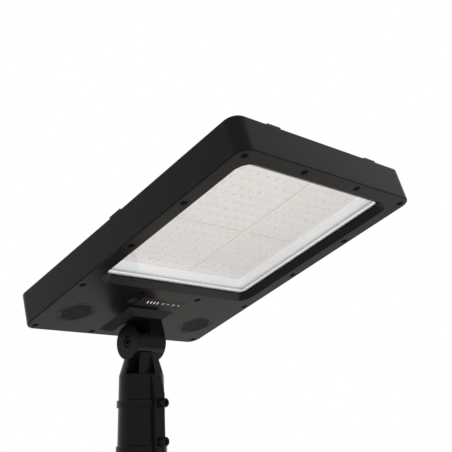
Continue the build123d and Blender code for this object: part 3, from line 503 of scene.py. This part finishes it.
def grillePaint():
    finish = Finish("grillePaint", paint["colour"], paint["roughness"], Specular_IOR_Level=paint["gloss"])
    finish.uneven(finish.noise(*paint["smears"]), paint["uneven"])
    return finish.bump(finish.noise(*paint["grain"]), *paint["bump"]).material


cloth = {
    # black cloth, made darker than the grille plate: partly painted shade for the depth of the grille's holes
    "colour": (0.0012, 0.0012, 0.0012),
    "roughness": 0.9,
    "gloss": 0.02,
    "thread": 0.5,
    "bump": (0.08, 0.6),
}


def ventCloth():
    finish = Finish("ventCloth", cloth["colour"], cloth["roughness"], Specular_IOR_Level=cloth["gloss"])
    x, y = finish.headParts()
    pitch = cloth["thread"] * mm
    weave = x.wave(pitch) / (pitch / 2) + y.wave(pitch) / (pitch / 2)
    return finish.bump(weave, *cloth["bump"]).material


finishes = {
    "black_coat": powderCoat(),
    "plated_steel": blackOxide("blackOxide", "bolts"),
    # black oxide cover screws, darkened as painted shade of their recesses
    "screw_steel": blackOxide("shadedBlackScrew", "screws"),
    "seal_rubber": sealRubber(),
    "clear_window": glassSheet("windowGlass", "window"),
    "white_reflector": whiteSheet(),
    "led_board": solderMask(),
    "bare_aluminium": bareAluminium(),
    "module_glass": glassSheet("moduleGlass", "module"),
    "silicon_cells": siliconCell(),
    "module_backsheet": plastic("backsheet", **moulded["backsheet"]),
    "battery_sleeve": plastic("batterySleeve", **moulded["sleeve"]),
    "black_plastic": plastic("mouldedBlack", **moulded["black"]),
    "circuit_board": circuitBoard(),
    "indicator_film": printedFilm(),
    "button_metal": blackOxide("buttonBlack", "button"),
    "grille_plate": grillePaint(),
    "vent_cloth": ventCloth(),
}
for part in frame["record"]["subparts"]:
    mesh = nodes[part["node"]].data
    mesh.materials.clear()
    mesh.materials.append(finishes[part["material_slot"]])
print("finishes on the frame:", len(finishes))


# Mesh helpers
creaseAngle = 32   # degrees between faces that stay a hard edge
weldDistance = 1e-6   # metres


def newPiece(name, shape, materials, body, smooth=True):
    mesh = bpy.data.meshes.new(name)
    shape.to_mesh(mesh)
    shape.free()
    for material in materials:
        mesh.materials.append(material)
    if smooth:
        mesh.polygons.foreach_set("use_smooth", [True] * len(mesh.polygons))
        mesh.set_sharp_from_angle(angle=math.radians(creaseAngle))
    piece = bpy.data.objects.new(name, mesh)
    bpy.context.scene.collection.objects.link(piece)
    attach(piece, body)
    return piece


def prism(shape, outline, low, high, materialIndex=0):
    # closed prism on an outline of (x, y) points between two levels
    base = [shape.verts.new(headPoint(x, y, low)) for x, y in outline]
    top = [shape.verts.new(headPoint(x, y, high)) for x, y in outline]
    count = len(outline)
    faces = [shape.faces.new(list(reversed(base))), shape.faces.new(top)]
    for i in range(count):
        j = (i + 1) % count
        faces.append(shape.faces.new([base[i], base[j], top[j], top[i]]))
    for face in faces:
        face.material_index = materialIndex


def ringOf(shape, centre, profile, steps, materialIndex=0):
    # surface of revolution about a line square to the head: profile is (radius, level) from start to end
    rings = []
    for radius, level in profile:
        if radius == 0:
            rings.append([shape.verts.new(headPoint(centre[0], centre[1], level))])
            continue
        ring = []
        for i in range(steps):
            turn = 2 * math.pi * i / steps
            x, y = centre[0] + radius * math.cos(turn), centre[1] + radius * math.sin(turn)
            ring.append(shape.verts.new(headPoint(x, y, level)))
        rings.append(ring)
    for first, second in zip(rings, rings[1:]):
        for i in range(steps):
            j = (i + 1) % steps
            sides = ((first, i), (first, j), (second, j), (second, i))
            corners = list(dict.fromkeys(ring[k % len(ring)] for ring, k in sides))
            shape.faces.new(corners).material_index = materialIndex


def clippedRectangle(x, y, width, length, clip):
    w, h = width / 2, length / 2
    return [
        (x - w + clip, y - h), (x + w - clip, y - h), (x + w, y - h + clip), (x + w, y + h - clip),
        (x + w - clip, y + h), (x - w + clip, y + h), (x - w, y + h - clip), (x - w, y - h + clip),
    ]


# LEDs: a ceramic body with a phosphor dome over every package of the boards
led = {
    "jointX": 38.4,
    "jointY": -54.0,
    "offset": 10.0,
    "body": 3.4,
    "bodyRise": 0.2,
    "clip": 0.35,
    "lens": 1.15,
    "rise": 0.5,
    "domeAngles": (0, 0.4, 0.8, 1.2),
    "domeSteps": 14,
}
ledCounts = {"left": 10, "right": 6, "front": 10, "rear": 7}


def ledPlaces():
    for xName, xSide in (("left", -1), ("right", 1)):
        for yName, ySide in (("front", -1), ("rear", 1)):
            for i in range(ledCounts[xName]):
                for k in range(ledCounts[yName]):
                    yield (
                        led["jointX"] + xSide * (led["offset"] + ledPitch * i),
                        led["jointY"] + ySide * (led["offset"] + ledPitch * k),
                    )


def ledDomes():
    shape = bmesh.new()
    face = lowestLevelOf("led_board_front_left")
    front = face - led["bodyRise"]
    dome = [(led["lens"] * math.cos(a), front - led["rise"] * math.sin(a)) for a in led["domeAngles"]]
    dome.append((0, front - led["rise"]))
    for x, y in ledPlaces():
        prism(shape, clippedRectangle(x, y, led["body"], led["body"], led["clip"]), front, face, 0)
        ringOf(shape, (x, y), dome, led["domeSteps"], 1)
    newPiece("ledDomes", shape, [ceramicWhite(), phosphor()], "head")


ledDomes()
print("LED domes made")


# Pale cover strips with clipped corners, over the two joints between the boards
strips = {
    "width": 4.0,
    "rise": 0.12,
    "crossRise": 0.09,
    "inset": 2.0,
    "clip": 0.8,
    "colour": (0.63, 0.575, 0.54),
    "crossColour": (0.58, 0.53, 0.505),
    "roughness": 0.6,
    "grain": (1.5, 2),
}


def jointStrips():
    shape = bmesh.new()
    left, front, levels = headBoxOf("led_board_front_left")
    right, rear = headBoxOf("led_board_rear_right")[0:2]
    face = levels[0]
    jointX, jointY = (left[1] + right[0]) / 2, (front[1] + rear[0]) / 2
    middleX, middleY = (left[0] + right[1]) / 2, (front[0] + rear[1]) / 2
    length = rear[1] - front[0] - 2 * strips["inset"]
    width = right[1] - left[0] - 2 * strips["inset"]
    lengthwise = clippedRectangle(jointX, middleY, strips["width"], length, strips["clip"])
    prism(shape, lengthwise, face - strips["rise"], face, 0)
    across = clippedRectangle(middleX, jointY, width, strips["width"], strips["clip"])
    prism(shape, across, face - strips["crossRise"], face, 1)
    tape = plastic("jointTape", strips["colour"], strips["roughness"], strips["grain"])
    dull = plastic("crossTape", strips["crossColour"], strips["roughness"], strips["grain"])
    newPiece("jointStrips", shape, [tape, dull], "head", smooth=False)


jointStrips()
print("joint strips made")


# Black rubber sealing rings under the heads of the cover screws, filling their recesses: painted shade of those
# recesses
shadeRings = {
    "inner": 4.7,
    "outer": 5.9,
    "thick": 1.1,
    "fillet": 0.35,
    "steps": 28,
    "headHeight": 1.8,
    "screwsApart": 12.0,
}


def screwCentres():
    # the screws are one mesh: points closer than the screws stand apart belong to one of them
    points = [vertex.co - headOrigin for vertex in nodes["cover_screws"].data.vertices]
    groups = []
    for x, y in [(point.x / mm, point.dot(headBack) / mm) for point in points]:
        for group in groups:
            if math.hypot(x - group[0][0], y - group[0][1]) < shadeRings["screwsApart"]:
                group.append((x, y))
                break
        else:
            groups.append([(x, y)])
    for group in groups:
        xs, ys = [spot[0] for spot in group], [spot[1] for spot in group]
        yield middle((min(xs), max(xs))), middle((min(ys), max(ys)))


def screwShadeRings():
    shape = bmesh.new()
    inner, outer, soft = shadeRings["inner"], shadeRings["outer"], shadeRings["fillet"]
    seat = lowestLevelOf("cover_screws") + shadeRings["headHeight"]
    top = seat - shadeRings["thick"]
    profile = [
        (inner, seat), (outer, seat), (outer, top + soft), (outer - soft, top),
        (inner + soft, top), (inner, top + soft), (inner, seat),
    ]
    # one black ring in each screw recess, as painted shade of the recess
    for centre in screwCentres():
        ringOf(shape, centre, profile, shadeRings["steps"])
    bmesh.ops.remove_doubles(shape, verts=shape.verts, dist=weldDistance)
    newPiece("screwShadeRings", shape, [sealRubber()], "head")


screwShadeRings()
print("screw seals made")


# White lip on the inner side of the lens, round the window's opening
lip = {
    "inset": 5.1,
    "width": 6.6,
    "thick": 0.4,
    "outerRound": 1.5,
    "innerRound": 5.4,
    "arcSteps": 6,
    "colour": (0.97, 0.97, 0.99),
    "roughness": 0.3,
}


def roundedOutline(centre, half, radius, steps):
    points = []
    for quarter, (sideX, sideY) in enumerate(((1, 1), (-1, 1), (-1, -1), (1, -1))):
        for i in range(steps + 1):
            angle = (quarter + i / steps) * math.pi / 2
            points.append((
                centre[0] + sideX * (half[0] - radius) + radius * math.cos(angle),
                centre[1] + sideY * (half[1] - radius) + radius * math.sin(angle),
            ))
    return points


def flatFrame(shape, outer, inner, low, high):
    # closed frame between two outlines of the same number of points
    loops = [
        [shape.verts.new(headPoint(x, y, level)) for x, y in outline]
        for outline, level in ((outer, low), (outer, high), (inner, high), (inner, low))
    ]
    count = len(outer)
    for first, second in zip(loops, loops[1:] + loops[:1]):
        for i in range(count):
            j = (i + 1) % count
            shape.faces.new([first[i], first[j], second[j], second[i]])
    bmesh.ops.recalc_face_normals(shape, faces=shape.faces)


def windowLip():
    shape = bmesh.new()
    spanX, spanY, spanZ = headBoxOf("window_lens")
    centre = (middle(spanX), middle(spanY))
    half = [(span[1] - span[0]) / 2 - lip["inset"] for span in (spanX, spanY)]
    innerHalf = [size - lip["width"] for size in half]
    outer = roundedOutline(centre, half, lip["outerRound"], lip["arcSteps"])
    inner = roundedOutline(centre, innerHalf, lip["innerRound"], lip["arcSteps"])
    flatFrame(shape, outer, inner, spanZ[1], spanZ[1] + lip["thick"])
    white = plastic("lipWhite", lip["colour"], lip["roughness"])
    newPiece("windowLip", shape, [white], "head")


windowLip()
print("window lip made")


# Satin ring round the button, and a dot on its cap
buttonTrim = {
    "inner": 6.4,
    "outer": 7.3,
    "rise": 0.3,
    "soft": 0.1,
    "ringSteps": 36,
    "ringColour": (0.09, 0.09, 0.09),
    "ringRoughness": 0.36,
    "dot": 1.3,
    "dotRise": 0.18,
    "dotSteps": 20,
    "dotColour": (0.09, 0.09, 0.095),
    "dotRoughness": 0.4,
}


def buttonCentre():
    spanX, spanY, _ = headBoxOf("power_button")
    return middle(spanX), middle(spanY)


def buttonRing():
    shape = bmesh.new()
    inner, outer, soft = buttonTrim["inner"], buttonTrim["outer"], buttonTrim["soft"]
    face = lowestLevelOf("button_bezel")
    top = face - buttonTrim["rise"]
    profile = [
        (inner, face), (outer, face), (outer, top + soft), (outer - soft, top),
        (inner + soft, top), (inner, top + soft), (inner, face),
    ]
    ringOf(shape, buttonCentre(), profile, buttonTrim["ringSteps"])
    bmesh.ops.remove_doubles(shape, verts=shape.verts, dist=weldDistance)
    satin = turnedSteel("satinRing", buttonTrim["ringColour"], buttonTrim["ringRoughness"])
    newPiece("buttonRing", shape, [satin], "head")


def buttonDot():
    shape = bmesh.new()
    dot, soft = buttonTrim["dot"], buttonTrim["soft"]
    cap = lowestLevelOf("power_button")
    level = cap - buttonTrim["dotRise"]
    profile = [(0, cap), (dot, cap), (dot, level + soft), (dot - soft, level), (0, level)]
    ringOf(shape, buttonCentre(), profile, buttonTrim["dotSteps"])
    grey = plastic("dotGrey", buttonTrim["dotColour"], buttonTrim["dotRoughness"])
    newPiece("buttonDot", shape, [grey], "button")


buttonRing()
buttonDot()
print("button details made")


# Solar cells: clipped cells in strings, with ribbons along them, in the space of the CAD cells
cells = {
    "columns": 4,
    "rows": 9,
    "width": 91.5,
    "length": 60.0,
    "gap": 1.0,
    "clip": 5.0,
    "ribbons": 3,
    "ribbon": 1.4,
    "ribbonRise": 0.15,
    "ribbonClip": 0.2,
    "ribbonColour": (0.72, 0.73, 0.75),
    "ribbonRoughness": 0.31,
}


def rowOf(count, pitch):
    # evenly spaced places about zero
    return [(i - (count - 1) / 2) * pitch for i in range(count)]


def solarStrings():
    shape = bmesh.new()
    low, high = headBoxOf("solar_cells")[2]
    cellTop = high - cells["ribbonRise"]
    stringLength = cells["rows"] * (cells["length"] + cells["gap"]) - cells["gap"]
    for x in rowOf(cells["columns"], cells["width"] + cells["gap"]):
        for y in rowOf(cells["rows"], cells["length"] + cells["gap"]):
            outline = clippedRectangle(x, y, cells["width"], cells["length"], cells["clip"])
            prism(shape, outline, low, cellTop, 0)
        for aside in rowOf(cells["ribbons"], cells["width"] / cells["ribbons"]):
            outline = clippedRectangle(x + aside, 0, cells["ribbon"], stringLength, cells["ribbonClip"])
            prism(shape, outline, cellTop, high, 1)
    ribbon = turnedSteel("tinnedRibbon", cells["ribbonColour"], cells["ribbonRoughness"])
    piece = newPiece("solarStrings", shape, [siliconCell(), ribbon], "head", smooth=False)
    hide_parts("solar_cells")


solarStrings()
print("solar strings made")


# Marks on the indicator panel: four slanted bars, and four small plain signs, frames and arrows by turns
marks = {
    "middle": 148.0,
    "rise": 0.03,
    "barXs": (-29.0, -21.5, -14.0, -6.5),
    "bar": {"half": 1.0, "lean": 0.9, "tall": 4.2},
    "signXs": (6.5, 18.0, 30.5, 43.0),
    "frame": {"halfWidth": 1.8, "halfLength": 2.4, "width": 4.2, "length": 5.4, "line": 0.7, "clip": 0.2},
    "arrow": {"half": 2.0, "tall": 2.6, "notch": 0.9},
    "colour": (0.72, 0.70, 0.71),
    "roughness": 0.5,
}


def barOutline(x, y):
    half, lean, tall = marks["bar"]["half"], marks["bar"]["lean"], marks["bar"]["tall"]
    return [
        (x - lean - half, y - tall), (x - lean + half, y - tall),
        (x + lean + half, y + tall), (x + lean - half, y + tall),
    ]


def frameOutlines(x, y):
    sign = marks["frame"]
    for side in (-1, 1):
        yield clippedRectangle(x, y + side * sign["halfLength"], sign["width"], sign["line"], sign["clip"])
        yield clippedRectangle(x + side * sign["halfWidth"], y, sign["line"], sign["length"], sign["clip"])


def arrowOutline(x, y):
    half, tall, notch = marks["arrow"]["half"], marks["arrow"]["tall"], marks["arrow"]["notch"]
    return [(x - half, y - tall), (x + half, y), (x - half, y + tall), (x - notch, y)]


def indicatorMarks():
    shape = bmesh.new()
    y = marks["middle"]
    outlines = [barOutline(x, y) for x in marks["barXs"]]
    for index, x in enumerate(marks["signXs"]):
        outlines += [arrowOutline(x, y)] if index % 2 else list(frameOutlines(x, y))
    high = lowestLevelOf("indicator_overlay")
    for outline in outlines:
        prism(shape, outline, high - marks["rise"], high)
    white = plastic("markWhite", marks["colour"], marks["roughness"])
    newPiece("indicatorMarks", shape, [white], "head", smooth=False)


indicatorMarks()
print("indicator marks made")


# Camera at the photograph's angle, with places in metres and the lens in mm
shot = {
    "place": (-0.9655, -1.2097, 0.0060),
    "right": (0.7173, -0.6962, -0.0274),
    "up": (-0.1594, -0.2023, 0.9663),
    "lens": 66.9,
    "sensor": 36.0,
    "near": 0.02,
    "far": 50,
}


def makeCamera():
    data = bpy.data.cameras.new("camera")
    data.lens = shot["lens"]
    data.sensor_width = shot["sensor"]
    data.clip_start = shot["near"]
    data.clip_end = shot["far"]
    camera = bpy.data.objects.new("camera", data)
    bpy.context.scene.collection.objects.link(camera)
    right = Vector(shot["right"]).normalized()
    up = Vector(shot["up"])
    up = (up - right * up.dot(right)).normalized()
    turn = Matrix((right, up, right.cross(up))).transposed().to_4x4()
    camera.matrix_world = Matrix.Translation(Vector(shot["place"])) @ turn
    bpy.context.scene.camera = camera


makeCamera()
print("camera set")


# Studio: pale floor far below, white surroundings and three soft lamps, in metres and watts
studio = {
    "floorLevel": -1.0,
    "floorSize": 14.0,
    "floorColour": (0.88, 0.86, 0.82),
    "floorRoughness": 0.7,
    "floorLift": 0.4,
    "worldColour": (1, 1, 1),
    "around": 0.45,
    "backdrop": 1.0,
    "aimUp": 0.05,
    "aimForward": 0.2,
}
lamps = {
    "keyLamp": {"from": (0.74, 0.46, -0.49), "away": 2.2, "size": 0.9, "power": 2.0, "glossy": False},
    "lowLamp": {"from": (0.68, -0.32, -0.66), "away": 1.2, "size": 0.35, "power": 1.2, "glossy": True},
    "fillLamp": {"from": (-0.38, -0.7, -0.6), "away": 1.6, "size": 1.2, "power": 27.0, "glossy": False},
}


def seenDirectly(net):
    # 1 for camera, glossy and transmission rays, which see the plain backdrop
    rays = ("Is Camera Ray", "Is Glossy Ray", "Is Transmission Ray")
    camera, glossy, through = net.add("ShaderNodeLightPath", output=rays)
    return camera.maths("MAXIMUM", camera.maths("MAXIMUM", camera, glossy), through)


def makeWorld():
    world = bpy.data.worlds.new("studioWorld")
    bpy.context.scene.world = world
    world.use_nodes = True
    net = NodeNet(world.node_tree)
    levels = {"Value": seenDirectly(net), "To Min": studio["around"], "To Max": studio["backdrop"]}
    background = world.node_tree.nodes["Background"]
    net.feed(background.inputs["Color"], studio["worldColour"])
    net.feed(background.inputs["Strength"], net.add("ShaderNodeMapRange", None, levels))


def paleFloor():
    # lit by the room, and lifted towards the backdrop's white where it is seen, so that it keeps the shadow
    colour, lift = studio["floorColour"], studio["floorLift"]
    finish = Finish("paleFloor", colour, studio["floorRoughness"], Emission_Strength=lift)
    return finish.vary("Emission Color", finish.mix(seenDirectly(finish), (0, 0, 0), colour)).material


def makeFloor():
    shape = bmesh.new()
    half = studio["floorSize"] / 2
    corners = [(-half, -half), (half, -half), (half, half), (-half, half)]
    shape.faces.new([shape.verts.new((x, y, studio["floorLevel"])) for x, y in corners])
    mesh = bpy.data.meshes.new("floor")
    shape.to_mesh(mesh)
    shape.free()
    mesh.materials.append(paleFloor())
    floor = bpy.data.objects.new("floor", mesh)
    bpy.context.scene.collection.objects.link(floor)
    floor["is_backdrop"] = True


def makeLamp(name, lamp):
    data = bpy.data.lights.new(name, "AREA")
    data.shape = "DISK"
    data.size = lamp["size"]
    data.energy = lamp["power"]
    aim = pivot + headUp * studio["aimUp"] - headBack * studio["aimForward"]
    place = aim + Vector(lamp["from"]).normalized() * lamp["away"]
    item = bpy.data.objects.new(name, data)
    bpy.context.scene.collection.objects.link(item)
    item.location = place
    item.visible_glossy = lamp["glossy"]
    item.visible_camera = False
    item.rotation_mode = "QUATERNION"
    item.rotation_quaternion = (aim - place).to_track_quat("-Z", "Y")


makeWorld()
makeFloor()
for lampName, lampSettings in lamps.items():
    makeLamp(lampName, lampSettings)
bpy.context.scene.view_settings.view_transform = "Standard"
print("studio set")

boxes = {"cad": cadBox, "visual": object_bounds()}
{name: [list(corner) for corner in box] for name, box in boxes.items()}
